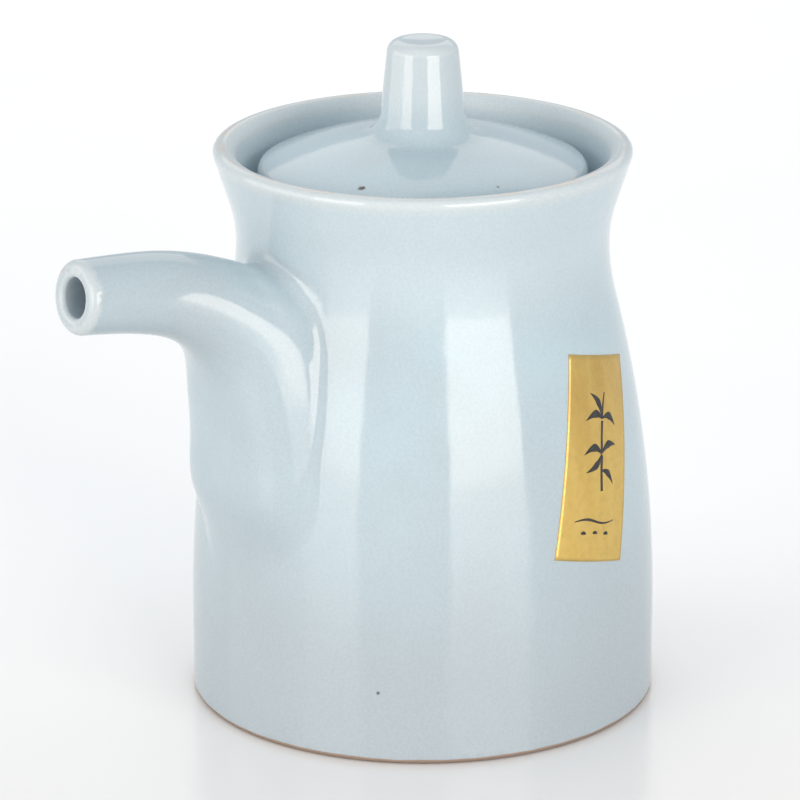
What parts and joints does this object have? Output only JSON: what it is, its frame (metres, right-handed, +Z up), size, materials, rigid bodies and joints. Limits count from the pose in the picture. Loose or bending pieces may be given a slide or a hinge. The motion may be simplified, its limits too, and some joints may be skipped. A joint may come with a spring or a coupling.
{
  "type": "sake pouring pot",
  "caption": "Lidded porcelain pouring pot: flared round body, curved horn spout rising from the belly, drop-in domed lid with a tapered knob.",
  "frame": {"origin": "centre of the foot ring on the surface the pot stands on", "axes": "+Z up along the turned body's axis; the spout points along -X"},
  "size_m": [0.0967, 0.07, 0.1005],
  "materials": {
    "celadon_glaze": "glossy pale blue-grey celadon glaze over porcelain",
    "lid_glaze": "glossy pale blue-grey celadon glaze over porcelain",
    "gold_foil": "mottled gold foil paper with dark brush marks"
  },
  "bodies": {
    "pot": {"pot_body": "celadon_glaze", "spout": "celadon_glaze", "label": "gold_foil"},
    "lid_set": {"lid": "lid_glaze", "lid_knob": "lid_glaze"}
  },
  "joints": [
    {"name": "lid_lift", "type": "slide", "parent": "pot", "child": "lid_set", "axis": [0, 0, 1], "range_m": [0, 0.06]}
  ]
}
